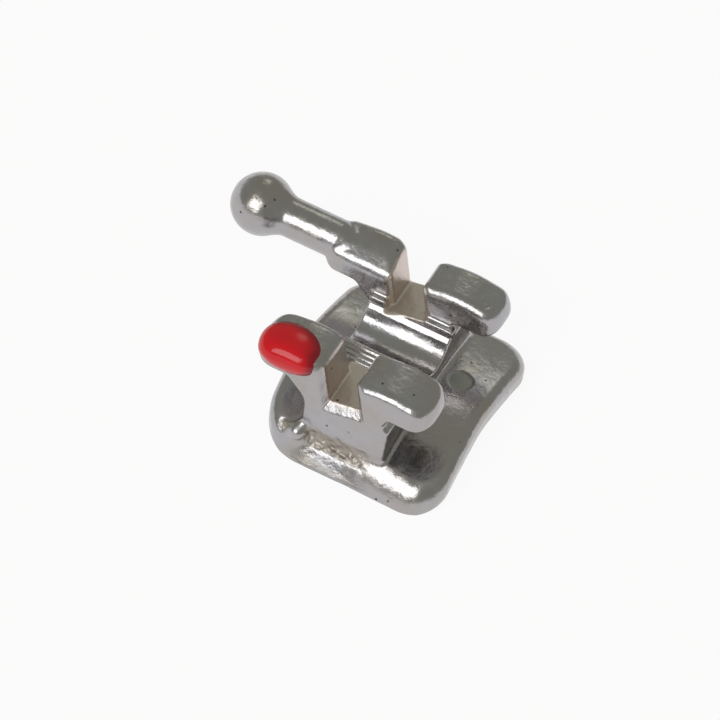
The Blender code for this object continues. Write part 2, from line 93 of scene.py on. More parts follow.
def linear(colour: str) -> tuple[float, float, float, float]:
    """Turn an sRGB hex value into linear colour.

    Args:
        colour: The colour as "#rrggbb".

    Returns:
        Red, green, blue and alpha, for a shader socket.
    """
    channels = [int(colour[i : i + 2], 16) / 255 for i in (1, 3, 5)]
    low = [c / 12.92 for c in channels]
    high = [((c + 0.055) / 1.055) ** 2.4 for c in channels]
    mixed = [lo if c <= 0.04045 else hi for c, lo, hi in zip(channels, low, high)]
    return (*mixed, 1.0)


def add_node(
    tree: bpy.types.NodeTree,
    kind: str,
    settings: dict[str, object] | None = None,
    inputs: dict[str | int, object] | None = None,
) -> bpy.types.Node:
    """Add a node with its settings, values and links.

    Args:
        tree: The node tree that takes the node.
        kind: The node's type name.
        settings: Attributes of the node.
        inputs: Values, or sockets to link from, by input name or place.

    Returns:
        The new node.
    """
    node = tree.nodes.new(kind)
    for name, value in (settings or {}).items():
        setattr(node, name, value)
    for name, value in (inputs or {}).items():
        if isinstance(value, bpy.types.NodeSocket):
            tree.links.new(value, node.inputs[name])
        else:
            node.inputs[name].default_value = value
    return node


def calculate(tree: bpy.types.NodeTree, kind: str, *values: object) -> bpy.types.NodeSocket:
    """Add a Math node.

    Args:
        tree: The node tree that takes the node.
        kind: Its operation.
        values: Numbers, or sockets to link from.

    Returns:
        Its result.
    """
    inputs = dict(enumerate(values))
    return add_node(tree, "ShaderNodeMath", {"operation": kind}, inputs).outputs[0]


def spread(
    tree: bpy.types.NodeTree,
    value: bpy.types.NodeSocket,
    old: tuple[float, float],
    new: tuple[float, float],
    curve: str = "LINEAR",
) -> bpy.types.NodeSocket:
    """Stretch a value from one range to another.

    Args:
        tree: The node tree that takes the node.
        value: The value to stretch.
        old: Where the value's range starts and ends.
        new: What those two ends become.
        curve: How it goes from one to the other.

    Returns:
        The stretched value.
    """
    inputs = {"Value": value, 1: old[0], 2: old[1], 3: new[0], 4: new[1]}
    settings = {"interpolation_type": curve}
    return add_node(tree, "ShaderNodeMapRange", settings, inputs).outputs["Result"]


def mix_colours(
    tree: bpy.types.NodeTree, share: bpy.types.NodeSocket, first: object, second: object
) -> bpy.types.NodeSocket:
    """Mix two colours.

    Args:
        tree: The node tree that takes the node.
        share: How much of the second colour shows.
        first: A colour, or a socket to link from.
        second: The same for the second colour.

    Returns:
        The mixed colour.
    """
    inputs = {0: share, 6: first, 7: second}
    return add_node(tree, "ShaderNodeMix", {"data_type": "RGBA"}, inputs).outputs[2]


def mix_shaders(
    tree: bpy.types.NodeTree,
    share: bpy.types.NodeSocket,
    first: bpy.types.Node,
    second: bpy.types.Node,
    output: str,
) -> None:
    """Mix two shaders and show the mix.

    Args:
        tree: The node tree that takes the node.
        share: How much of the second shader shows.
        first: The first shader.
        second: The second shader.
        output: The name of the tree's output node.
    """
    inputs = {0: share, 1: first.outputs[0], 2: second.outputs[0]}
    mixed = add_node(tree, "ShaderNodeMixShader", {}, inputs)
    tree.links.new(mixed.outputs[0], tree.nodes[output].inputs["Surface"])


def noise(
    tree: bpy.types.NodeTree, where: bpy.types.NodeSocket, size: float, detail: float
) -> bpy.types.NodeSocket:
    """Add lumps of a real size.

    Args:
        tree: The material's tree.
        where: The coordinates to read.
        size: The lumps' size in millimetres.
        detail: How many finer layers they have.

    Returns:
        The lumps' height.
    """
    inputs = {"Vector": where, "Scale": 1 / (size * MM), "Detail": detail}
    return add_node(tree, "ShaderNodeTexNoise", {}, inputs).outputs["Fac"]


def bump(
    tree: bpy.types.NodeTree, height: bpy.types.NodeSocket, size: float, **more: object
) -> bpy.types.NodeSocket:
    """Turn a height into a bumpy normal.

    Args:
        tree: The material's tree.
        height: The height to read.
        size: What a height of 1 measures, in millimetres.
        more: The node's other inputs, such as Strength.

    Returns:
        The normal.
    """
    inputs = {"Height": height, "Distance": size * MM, **more}
    return add_node(tree, "ShaderNodeBump", {}, inputs).outputs["Normal"]


def attribute(tree: bpy.types.NodeTree, name: str) -> bpy.types.NodeSocket:
    """Read one of the piece's named values.

    Args:
        tree: The material's tree.
        name: The value's name.

    Returns:
        The value.
    """
    return add_node(tree, "ShaderNodeAttribute", {"attribute_name": name}).outputs["Fac"]


def new_material(name: str) -> tuple[bpy.types.Material, bpy.types.NodeTree, bpy.types.Node]:
    """Start a material.

    Args:
        name: The material's name.

    Returns:
        The material, its tree and its shader.
    """
    made = bpy.data.materials.new(name)
    made.use_nodes = True
    return made, made.node_tree, made.node_tree.nodes["Principled BSDF"]


def new_object(name: str, data: bpy.types.ID) -> bpy.types.Object:
    """Put an object into the scene.

    Args:
        name: The object's name.
        data: Its mesh, light or camera.

    Returns:
        The new object, at the origin.
    """
    made = bpy.data.objects.new(name, data)
    bpy.context.scene.collection.objects.link(made)
    return made


def direction(azimuth: float, elevation: float) -> Vector:
    """Find a direction round the part.

    Args:
        azimuth: Its angle from the front.
        elevation: Its angle above the floor.

    Returns:
        The direction, of length 1.
    """
    flat = math.cos(elevation)
    return Vector((math.sin(azimuth) * flat, -math.cos(azimuth) * flat, math.sin(elevation)))


def smooth_step(value: Array, low: float, high: float) -> Array:
    """Rise smoothly from 0 at low to 1 at high.

    Args:
        value: Where to take the step.
        low: Where it starts to rise.
        high: Where it ends.

    Returns:
        The share at each value.
    """
    share = np.clip((value - low) / (high - low), 0, 1)
    return share * share * (3 - 2 * share)


def joined(first: Array, second: Array, radius: float | Array) -> Array:
    """Unite two distance fields, with a concave fillet where they meet.

    Args:
        first: Signed distance to the first shape, negative inside.
        second: The same for the second shape.
        radius: The fillet's radius.

    Returns:
        The signed distance of both together.
    """
    near_first = np.maximum(radius - first, 0)
    near_second = np.maximum(radius - second, 0)
    return np.maximum(radius, np.minimum(first, second)) - np.hypot(near_first, near_second)


def common(first: Array, second: Array, radius: float | Array) -> Array:
    """Keep what two distance fields share, with its edge rounded.

    Args:
        first: Signed distance to the first shape, negative inside.
        second: The same for the second shape.
        radius: The edge's radius.

    Returns:
        The signed distance of the shared part.
    """
    return -joined(-first, -second, radius)


def cut(target: Array, tool: Array, radius: float | Array) -> Array:
    """Take the tool's shape from the target, with the cut's edge rounded.

    Args:
        target: Signed distance to what is cut.
        tool: Signed distance to what is taken away.
        radius: The edge's radius.

    Returns:
        The signed distance of what is left.
    """
    return common(target, -tool, radius)


@dataclass(frozen=True)
class Outline:
    """A closed flat outline: corners as (u, v, radius), counter-clockwise."""

    corners: tuple[tuple[float, float, float], ...]
    arc_step: float = math.radians(6)
    longest_side: float = 0.05
    most_of_side: float = 0.49

    def points(self) -> list[Vector]:
        """Turn every corner with a radius into an arc.

        Returns:
            The outline's points.
        """
        result = []
        count = len(self.corners)
        for i, (u, v, radius) in enumerate(self.corners):
            here = Vector((u, v))
            to_last = Vector(self.corners[i - 1][:2]) - here
            to_next = Vector(self.corners[(i + 1) % count][:2]) - here
            turn = to_last.angle(to_next)
            if radius <= 0 or math.isclose(turn, math.pi, abs_tol=0.01):
                result.append(here)
                continue
            half = turn / 2
            shortest = min(to_last.length, to_next.length)
            radius = min(radius, self.most_of_side * shortest * math.tan(half))
            start = here + to_last.normalized() * (radius / math.tan(half))
            inwards = (to_last.normalized() + to_next.normalized()).normalized()
            centre = here + inwards * (radius / math.sin(half))
            sweep = math.pi - turn
            side = 1 if to_last.cross(to_next) < 0 else -1
            steps = max(2, round(sweep / self.arc_step), round(radius * sweep / self.longest_side))
            for k in range(steps + 1):
                turned = Matrix.Rotation(side * sweep * k / steps, 2)
                result.append(centre + turned @ (start - centre))
        return result

    def distance(self, u: Array, v: Array) -> Array:
        """Measure the signed distance to the outline.

        Args:
            u: First coordinates.
            v: Second coordinates.

        Returns:
            The distance at each place, negative inside.
        """
        places = [tuple(p) for p in self.points()]
        shape = np.broadcast(u, v).shape
        nearest = np.full(shape, np.inf)
        inside = np.zeros(shape, bool)
        for (u0, v0), (u1, v1) in zip(places, places[1:] + places[:1]):
            du, dv = u1 - u0, v1 - v0
            length = du * du + dv * dv
            if length == 0:
                continue
            along = np.clip(((u - u0) * du + (v - v0) * dv) / length, 0, 1)
            gap = (u - u0 - along * du) ** 2 + (v - v0 - along * dv) ** 2
            nearest = np.minimum(nearest, gap)
            if dv != 0:
                crosses = (v0 > v) != (v1 > v)
                inside ^= crosses & (u < du * (v - v0) / dv + u0)
        return np.where(inside, -1, 1) * np.sqrt(nearest)


@dataclass(frozen=True)
class Grain:
    """Smooth random lumps, the same on every run."""

    size: float
    seed: int
    table_side: int = 32

    def at(self, places: Array) -> Array:
        """Read the lumps at some places.

        Args:
            places: Rows of x, y, z.

        Returns:
            A value from -1 to 1 for each row.
        """
        table = np.random.default_rng(self.seed).uniform(-1, 1, (self.table_side,) * 3)
        scaled = places / self.size
        cell = np.floor(scaled).astype(int)
        share = scaled - cell
        share = share * share * (3 - 2 * share)
        total = np.zeros(len(places))
        for corner in np.ndindex(2, 2, 2):
            weight = np.ones(len(places))
            for axis, far in enumerate(corner):
                weight *= share[:, axis] if far else 1 - share[:, axis]
            index = (cell + corner) % self.table_side
            total += weight * table[index[:, 0], index[:, 1], index[:, 2]]
        return total


@dataclass(frozen=True)
class Skin:
    """Turns a distance field into a mesh of even quads that lie on its surface."""

    step: float
    margin: float = 0.08
    slices: int = 3

    def lattice(self, low: Array, high: Array) -> tuple[Array, Array, Array]:
        """Lay out the grid lines that cover a box.

        Args:
            low: The box's lowest corner.
            high: Its highest corner.

        Returns:
            The grid's x, y and z values.
        """
        lines = []
        for start, end in zip(low - self.margin, high + self.margin):
            lines.append(start + self.step * np.arange(math.ceil((end - start) / self.step) + 1))
        return lines[0], lines[1], lines[2]

    def build(self, shape: Field, low: Array, high: Array) -> tuple[Array, Array]:
        """Skin the field inside a box.

        Args:
            shape: The distance field.
            low: The box's lowest corner.
            high: Its highest corner.

        Returns:
            The vertices and the quads.
        """
        xs, ys, zs = self.lattice(low, high)
        values = shape(xs[:, None, None], ys[None, :, None], zs[None, None, :])
        inside = values < 0
        count = np.zeros(tuple(n - 1 for n in values.shape), np.int8)
        for i, j, k in np.ndindex(2, 2, 2):
            count += inside[
                i : inside.shape[0] - 1 + i,
                j : inside.shape[1] - 1 + j,
                k : inside.shape[2] - 1 + k,
            ]
        active = (count > 0) & (count < 8)
        cells = np.argwhere(active)
        index = np.full(active.shape, -1)
        index[active] = np.arange(len(cells))
        origin = np.array([xs[0], ys[0], zs[0]])
        points = origin + self.step * (cells + self.crossings(values, cells))
        points = self.settle(shape, points)
        return points, self.quads(inside, index)

    def crossings(self, values: Array, cells: Array) -> Array:
        """Average the places where the surface crosses each cell's edges.

        Args:
            values: The field on the grid.
            cells: Rows of cell indices.

        Returns:
            The mean crossing of each cell, from 0 to 1 along each axis.
        """
        total = np.zeros((len(cells), 3))
        hits = np.zeros(len(cells))
        for axis in range(3):
            for a, b in np.ndindex(2, 2):
                start = np.insert([a, b], axis, 0)
                end = np.insert([a, b], axis, 1)
                first = values[tuple((cells + start).T)]
                second = values[tuple((cells + end).T)]
                crossed = (first < 0) != (second < 0)
                change = np.where(crossed, first - second, 1)
                place = start + np.outer(first / change, end - start)
                total[crossed] += place[crossed]
                hits += crossed
        return total / hits[:, None]

    def quads(self, inside: Array, index: Array) -> Array:
        """Join the four cells round every crossed grid edge.

        Args:
            inside: Whether each grid point is inside.
            index: Each active cell's vertex.

        Returns:
            Rows of four vertex numbers, facing outwards.
        """
        faces = []
        for axis in range(3):
            second, third = (axis + 1) % 3, (axis + 2) % 3
            lower = np.take(inside, range(inside.shape[axis] - 1), axis)
            upper = np.take(inside, range(1, inside.shape[axis]), axis)
            edges = np.argwhere(lower != upper)
            leaves = lower[tuple(edges.T)]
            back = np.eye(3, dtype=int)
            ring = [
                edges - back[second] - back[third],
                edges - back[third],
                edges,
                edges - back[second],
            ]
            made = np.stack([index[tuple(cell.T)] for cell in ring], 1)
            faces.append(np.where(leaves[:, None], made, made[:, ::-1]))
        return np.concatenate(faces)

    def slope(self, shape: Field, points: Array) -> tuple[Array, Array]:
        """Measure the field and its direction of growth.

        Args:
            shape: The distance field.
            points: Rows of x, y, z.

        Returns:
            The field's value and its gradient at each point.
        """
        reach = self.step / 8
        value = shape(*points.T)
        gradient = np.empty_like(points)
        for axis in range(3):
            moved = points.copy()
            moved[:, axis] += reach
            gradient[:, axis] = (shape(*moved.T) - value) / reach
        return value, gradient

    def settle(self, shape: Field, points: Array) -> Array:
        """Move points onto the field's surface.

        Args:
            shape: The distance field.
            points: Rows of x, y, z near the surface.

        Returns:
            The moved points.
        """
        for _ in range(self.slices):
            value, gradient = self.slope(shape, points)
            length = np.maximum((gradient**2).sum(1), 0.25)
            move = gradient * (value / length)[:, None]
            points = points - np.clip(move, -self.step / 2, self.step / 2)
        return points


def new_piece(
    name: str,
    points: Array,
    faces: Array,
    material: bpy.types.Material,
    marks: dict[str, Array] | None = None,
) -> bpy.types.Object:
    """Make a smooth object from points in millimetres.

    Args:
        name: The piece's name.
        points: Rows of x, y, z.
        faces: Rows of vertex numbers.
        material: Its finish.
        marks: Named values for each point, which the finish may read.

    Returns:
        The new object, at the origin.
    """
    mesh = bpy.data.meshes.new(name)
    mesh.from_pydata((points * MM).tolist(), [], faces.tolist())
    mesh.shade_smooth()
    for label, values in (marks or {}).items():
        attribute = mesh.attributes.new(label, "FLOAT", "POINT")
        attribute.data.foreach_set("value", values.astype(np.float32))
    mesh.materials.append(material)
    return new_object(name, mesh)


@dataclass(frozen=True)
class TumbledSteel:
    """Stainless steel, moulded from powder and tumbled.

    It looks like a soft mirror: mid grey, with a faint ripple left by the mould, a few pits left
    by the powder, and fine grit in the hollows that the tumbling media never reach.
    """

    colour: str = "#aeacb0"
    hollow_colour: str = "#a39c94"
    warm_colour: str = "#aaa49f"
    slot_colour: str = "#d4c8c0"
    dull_colour: str = "#b0b1ab"
    pit_colour: str = "#5a524c"
    roughness: tuple[float, float] = (0.188, 0.3055)
    slot_roughness: float = 0.34
    hollow_roughness: float = 0.42
    dull_roughness: float = 0.55
    cloud: float = 0.80
    cloud_range: tuple[float, float] = (0.35, 0.75)
    ripple: float = 0.16
    ripple_range: tuple[float, float] = (0.3, 0.7)
    ripple_strength: float = 0.20
    grit: float = 0.035
    grit_strength: tuple[float, float] = (0.10, 0.5)
    pit_pitch: float = 0.34
    pit_size: float = 0.085

    def material(self) -> bpy.types.Material:
        """Build the material.

        Returns:
            The steel, which reads the attributes "raw", "dull" and "slot".
        """
        made, tree, shader = new_material("tumbled_moulded_stainless_steel")
        shader.inputs["Metallic"].default_value = 1.0
        where = add_node(tree, "ShaderNodeTexCoord").outputs["Object"]
        raw, dull, slot = (attribute(tree, name) for name in ("raw", "dull", "slot"))
        cloud = spread(tree, noise(tree, where, self.cloud, 2), self.cloud_range, (0, 1))
        cells = {"Vector": where, "Scale": 1 / (self.pit_pitch * MM)}
        away = add_node(tree, "ShaderNodeTexVoronoi", {}, cells).outputs["Distance"]
        pit = spread(tree, away, (self.pit_size / 2, self.pit_size), (1, 0))
        colour = linear(self.colour)
        for share, over in (
            (cloud, self.warm_colour),
            (raw, self.hollow_colour),
            (dull, self.dull_colour),
            (slot, self.slot_colour),
            (pit, self.pit_colour),
        ):
            colour = mix_colours(tree, share, colour, linear(over))
        tree.links.new(colour, shader.inputs["Base Color"])
        ripple = noise(tree, where, self.ripple, 3)
        rough = spread(tree, ripple, self.ripple_range, self.roughness)
        for share, over in (
            (raw, self.hollow_roughness),
            (dull, self.dull_roughness),
            (slot, self.slot_roughness),
        ):
            inputs = {0: share, 2: rough, 3: over}
            rough = add_node(tree, "ShaderNodeMix", {"data_type": "FLOAT"}, inputs).outputs[0]
        tree.links.new(rough, shader.inputs["Roughness"])
        grit = noise(tree, where, self.grit, 4)
        depth = spread(tree, raw, (0, 1), self.grit_strength)
        fine = bump(tree, grit, self.grit / 2, Strength=depth)
        wide = bump(tree, ripple, self.ripple / 3, Strength=self.ripple_strength, Normal=fine)
        tree.links.new(wide, shader.inputs["Normal"])
        return made


@dataclass(frozen=True)
class MarkEnamel:
    """Epoxy enamel, dabbed on by hand: a glossy film, darker towards its rim, where it thins
    against the steel.
    """

    colour: str = "#df0d1e"
    rim_colour: str = "#8c0a1c"
    roughness: float = 0.14
    cloud: float = 0.30
    cloud_share: float = 0.25
    cloud_strength: float = 0.04
    refraction: float = 1.45

    def material(self) -> bpy.types.Material:
        """Build the material.

        Returns:
            The enamel, which reads the attribute "rim".
        """
        made, tree, shader = new_material("red_epoxy_enamel")
        shader.inputs["Roughness"].default_value = self.roughness
        shader.inputs["IOR"].default_value = self.refraction
        where = add_node(tree, "ShaderNodeTexCoord").outputs["Object"]
        cloud = noise(tree, where, self.cloud, 2)
        share = calculate(tree, "MULTIPLY_ADD", cloud, self.cloud_share, attribute(tree, "rim"))
        colour = mix_colours(tree, share, linear(self.colour), linear(self.rim_colour))
        tree.links.new(colour, shader.inputs["Base Color"])
        normal = bump(tree, cloud, self.cloud / 6, Strength=self.cloud_strength)
        tree.links.new(normal, shader.inputs["Normal"])
        return made


@dataclass(frozen=True)
class Slot:
    """The arch wire slot, whose floor leans by the torque."""

    x: float = -0.385
    z: float = 1.05
    width: float = 0.56
    torque: float = math.radians(12.5)
    end_run: float = 0.14
    end_flare: float = 0.11
    end_drop: float = 0.165
    corner_run: float = 0.08
    corner_flare: float = 0.07
    mouth_radius: float = 0.11
    mouth_depth: float = 0.275
    edge_radius: float = 0.025
    floor_radius: float = 0.02

    def tool(self, x: Array, y: Array, z: Array, ends: "Body") -> Array:
        """Measure the space that the slot takes.

        Args:
            x: Coordinates across the slot.
            y: Coordinates along it.
            z: Heights.
            ends: The body, whose ends and trough widen the slot.

        Returns:
            The signed distance to that space.
        """
        u = (x - self.x) * math.cos(self.torque) + (z - self.z) * math.sin(self.torque)
        v = -(x - self.x) * math.sin(self.torque) + (z - self.z) * math.cos(self.torque)
        past_end = np.clip((np.abs(y) - ends.half_length) / self.end_run + 1, 0, 2)
        front = np.clip((y - ends.front_row.end) / self.corner_run + 1, 0, 1)
        back = np.clip((ends.back_row.start - y) / self.corner_run + 1, 0, 1)
        flare = self.end_flare * past_end + self.corner_flare * np.minimum(front, back)
        walls = np.abs(u) - self.width / 2 - flare
        floor = -v - self.end_drop * past_end
        slant = math.hypot(1, self.end_drop / self.end_run)
        floor = np.where(past_end > 0, floor / slant, floor)
        return common(walls, floor, self.floor_radius)

    def edge(self, z: Array, top: float) -> Array:
        """Give the radius of the slot's edge, which widens at its mouth.

        Args:
            z: Heights.
            top: The wings' top.

        Returns:
            The radius at each height.
        """
        mouth = smooth_step(z, top - self.mouth_depth, top - self.mouth_radius)
        return self.edge_radius + (self.mouth_radius - self.edge_radius) * mouth


@dataclass(frozen=True)
class Pad:
    """The curved bonding pad, with its recess and the ejector's mark."""

    width: float = 3.21
    length: float = 3.94
    thickness: float = 0.43
    corner: float = 0.64
    waist: float = 0.11
    bulge: float = 0.20
    bulge_root: float = 0.05
    near_corner: float = 0.95
    lean: float = 0.40
    lean_end: float = 1.20
    lean_length: float = 1.34
    near_fade: tuple[float, float] = (0.35, 0.75)
    gum_fade: tuple[float, float] = (0.1, 0.9)
    wide_rim: float = 0.12
    wide_rim_fade: tuple[float, float] = (0.2, 1.0)
    tooth_radius: float = 5.50
    rim_radius: float = 0.20
    heel_radius: float = 0.05
    land: float = 0.08
    recess_border: float = 0.26
    recess_depth: float = 0.14
    recess_radius: float = 0.02
    ejector_x: float = 0.83
    ejector_y: float = 0.48
    ejector_radius: float = 0.21
    ejector_depth: float = 0.02
    ejector_edge: float = 0.015

    def tilt(self, y: Array) -> Array:
        """Give how much nearer the curved pad is than a measure along Z says.

        Args:
            y: Distances from the pad's middle.

        Returns:
            The factor at each distance.
        """
        return np.sqrt(1 - np.minimum(np.abs(y) / self.tooth_radius, 0.9) ** 2)

    def drop(self, y: Array) -> Array:
        """Give how far the pad has curved down.

        Args:
            y: Distances from the pad's middle.

        Returns:
            The drop at each distance.
        """
        reach = np.minimum(np.abs(y), self.length)
        return self.tooth_radius - np.sqrt(self.tooth_radius**2 - reach**2)

    def outline(self) -> Outline:
        """Draw the pad from above: a waist on the biting side and a bulge on the gum side.

        Returns:
            Its outline in X and Y.
        """
        half_x, half_y = self.width / 2, self.length / 2
        gum_side = -half_x - self.bulge_root
        return Outline((
            (gum_side, -half_y, self.near_corner),
            (half_x, -half_y, self.corner),
            (half_x - self.waist, 0, self.length),
            (half_x, half_y, self.corner),
            (gum_side, half_y, self.corner),
            (gum_side - self.bulge, 0, self.length),
        ))

    def distance(self, x: Array, y: Array, z: Array) -> Array:
        """Measure the distance to the pad.

        Args:
            x: Coordinates across the pad.
            y: Coordinates along it.
            z: Heights.

        Returns:
            The signed distance.
        """
        level = z + self.drop(y)
        tilt = self.tilt(y)
        top = (level - self.thickness) * tilt
        stand = self.length / 2 - self.heel_radius - self.land
        foot = np.maximum(-level * tilt, -z - self.drop(np.array(stand)))
        near = 1 - smooth_step(y + self.length / 2, *self.near_fade)
        inset = self.lean * np.clip((self.lean_end - x) / self.lean_length, 0, 1)
        inset = inset * near * smooth_step(x + self.width / 2, *self.gum_fade)
        leaning = self.outline().distance(x, y) + inset * np.clip(level / self.thickness, 0, 1)
        rim = self.rim_radius + self.wide_rim * near * smooth_step(x, *self.wide_rim_fade)
        slab = common(leaning, top, rim)
        slab = common(slab, foot, self.heel_radius)
        round_mark = np.hypot(x - self.ejector_x, y - self.ejector_y) - self.ejector_radius
        mark = common(round_mark, -top - self.ejector_depth, self.ejector_edge)
        return cut(slab, mark, self.ejector_edge)

    def recess(self, x: Array, y: Array, z: Array) -> Array:
        """Measure the distance to the hollow in the bonding side.

        Args:
            x: Coordinates across the pad.
            y: Coordinates along it.
            z: Heights.

        Returns:
            The signed distance.
        """
        roof = (z + self.drop(y) - self.recess_depth) * self.tilt(y)
        border = self.outline().distance(x, y) + self.recess_border
        return common(border, roof, self.recess_radius)


@dataclass(frozen=True)
class WingRow:
    """A front or back pair of tie wings with the part of the body below them."""

    start: float
    end: float
    gingival_lip: float
    occlusal_lip: float
    occlusal_reach: float
    plan_radius: float
    plan_past: float = 0.06
    stem_reach: float = 0.36
    stem_drop: float = 0.37
    stem_radius: float = 0.42
    lip_radius: float = 0.26
    undercut: float = 0.12
    root_radius: float = 0.05
    edge_start: float = 0.45
    edge_end: float = 0.20

    def front_outline(self, body: "Body") -> Outline:
        """Draw the row as seen along the arch wire.

        Args:
            body: The body that the row belongs to.

        Returns:
            Its outline in X and Z, without the slot.
        """
        left, right = body.side(Side.GINGIVAL), body.side(Side.OCCLUSAL)
        left_tip, right_tip = body.tip(), body.slot.x + self.occlusal_reach
        middle = body.slot.x
        left_lip = body.slot.z + self.gingival_lip
        right_lip = body.slot.z + self.occlusal_lip
        crown = body.top - body.wing_crown
        notch = body.slot.z + self.undercut / 3
        return Outline((
            (left, body.foot, 0),
            (right, body.foot, 0),
            (right, notch - self.undercut, self.root_radius),
            (right - self.undercut, notch, self.root_radius),
            (right - self.undercut / 3, right_lip, self.root_radius),
            (right_tip, right_lip, self.lip_radius),
            (right_tip, crown, body.tip_radius),
            ((right_tip + middle) / 2, body.top, body.crown_radius),
            (middle, crown, 0),
            ((left_tip + middle) / 2, body.top, body.crown_radius),
            (left_tip, crown, body.tip_radius),
            (left_tip, left_lip, self.lip_radius),
            (left - self.stem_reach, left_lip, self.undercut),
            (left, left_lip - self.stem_drop, self.stem_radius),
        ))

    def distance(self, x: Array, y: Array, z: Array, body: "Body") -> Array:
        """Measure the distance to the row.

        Args:
            x: Coordinates across the slot.
            y: Coordinates along it.
            z: Heights.
            body: The body that the row belongs to.

        Returns:
            The signed distance, with the wings' upper edges rounded off.
        """
        left_tip = body.tip() - self.plan_past
        right_tip = body.slot.x + self.occlusal_reach + self.plan_past
        plan = Outline((
            (left_tip, self.start, self.plan_radius),
            (right_tip, self.start, self.plan_radius),
            (right_tip, self.end, self.plan_radius),
            (left_tip, self.end, self.plan_radius),
        ))
        upper = smooth_step(z, body.top - self.edge_start, body.top - self.edge_end)
        edge = body.low_edge + (body.edge_radius - body.low_edge) * upper
        front = self.front_outline(body).distance(x, z)
        return common(front, plan.distance(x, y), edge)


@dataclass(frozen=True)
class Trough:
    """The hollow between the two rows, with its stepped ledges."""

    ledge: float = 0.12
    ledge_rise: float = 0.10
    step: float = 0.03
    bevel: float = 0.08
    rim_drop: float = 0.10
    sag: float = 0.24
    shelf: float = 0.38
    groove_pitch: float = 0.10
    groove_depth: float = 0.022
    groove_fade: float = 0.05
    overlap: float = 0.05
    ledge_radius: float = 0.03
    root_radius: float = 0.06
    root_rise: float = 0.10
    hollow_points: int = 24

    def outline(self, body: "Body") -> Outline:
        """Draw the body between the rows, as seen across the slot.

        Args:
            body: The body that the trough is in.

        Returns:
            Its outline in Y and Z.
        """
        step = body.slot.z - self.step
        rim = body.slot.z - self.rim_drop
        top = body.slot.z + self.ledge_rise
        front = body.front_row.end + self.ledge
        back = body.back_row.start - self.ledge
        shelf = front + self.bevel
        front_rim, back_rim = shelf + self.shelf, back - self.bevel
        middle = (front_rim + back_rim) / 2
        half = (back_rim - front_rim) / 2
        radius = half**2 / (2 * self.sag) + self.sag / 2
        sweep = math.asin(half / radius)
        hollow = []
        for k in range(1, self.hollow_points):
            angle = sweep * (1 - 2 * k / self.hollow_points)
            depth = rim - self.sag + radius * (1 - math.cos(angle))
            hollow.append((middle + radius * math.sin(angle), depth, 0))
        near = body.front_row.end - self.overlap
        far = body.back_row.start + self.overlap
        return Outline((
            (near, body.foot, 0),
            (far, body.foot, 0),
            (far, top, 0),
            (back, top, self.ledge_radius),
            (back, step, 0),
            (back_rim, rim, 0),
            *hollow,
            (front_rim, rim, 0),
            (shelf, rim, 0),
            (front, step, 0),
            (front, top, self.ledge_radius),
            (near, top, 0),
        ))

    def distance(self, x: Array, y: Array, z: Array, body: "Body") -> Array:
        """Measure the distance to the body between the rows.

        Args:
            x: Coordinates across the slot.
            y: Coordinates along it.
            z: Heights.
            body: The body that the trough is in.

        Returns:
            The signed distance.
        """
        left, right = body.side(Side.GINGIVAL), body.side(Side.OCCLUSAL)
        across = np.abs(x - (left + right) / 2) - (right - left) / 2
        start = body.front_row.end + self.ledge
        end = start + self.bevel + self.shelf
        grooved = smooth_step(y, start, start + self.groove_fade)
        grooved = grooved * (1 - smooth_step(y, end - self.groove_fade, end))
        grooves = self.groove_depth * (1 + np.cos(math.tau * y / self.groove_pitch)) * grooved
        return common(self.outline(body).distance(y, z) + grooves, across, self.ledge_radius)


@dataclass(frozen=True)
class Body:
    """The body with its four tie wings and the trough between the rows."""

    length: float = 3.20
    gingival_side: float = 0.66
    occlusal_side: float = 0.86
    gingival_reach: float = 1.67
    wing_top: float = 0.80
    wing_crown: float = 0.13
    crown_radius: float = 1.60
    tip_radius: float = 0.30
    edge_radius: float = 0.17
    low_edge: float = 0.07
    foot: float = 0.05
    foot_radius: float = 0.09
    front_row: WingRow = WingRow(-1.60, -0.68, 0.22, 0.22, 1.51, 0.44)
    back_row: WingRow = WingRow(0.82, 1.60, 0.12, 0.17, 1.55, 0.42)
    trough: Trough = field(default_factory=Trough)
    slot: Slot = field(default_factory=Slot)
    pad: Pad = field(default_factory=Pad)

    @property
    def half_length(self) -> float:
        """Half the body's length.

        Returns:
            The distance from its middle to its end.
        """
        return self.length / 2

    @property
    def top(self) -> float:
        """The wings' highest point.

        Returns:
            Its height.
        """
        return self.slot.z + self.wing_top

    def side(self, side: Side) -> float:
        """Give the place of the body's wall on one side.

        Args:
            side: The side of the slot.

        Returns:
            Its X.
        """
        width = self.occlusal_side if side is Side.OCCLUSAL else self.gingival_side
        return self.slot.x + side.value * width

    def tip(self) -> float:
        """Give the place of the gum-side wing tips.

        Returns:
            Their X.
        """
        return self.slot.x - self.gingival_reach

    def distance(self, x: Array, y: Array, z: Array) -> Array:
        """Measure the distance to the body, before the slot is cut.

        Args:
            x: Coordinates across the slot.
            y: Coordinates along it.
            z: Heights.

        Returns:
            The signed distance.
        """
        rows = np.minimum(
            self.front_row.distance(x, y, z, self), self.back_row.distance(x, y, z, self)
        )
        rise = smooth_step(z, self.slot.z, self.slot.z + self.trough.root_rise)
        root = self.trough.root_radius * rise
        return joined(rows, self.trough.distance(x, y, z, self), root)


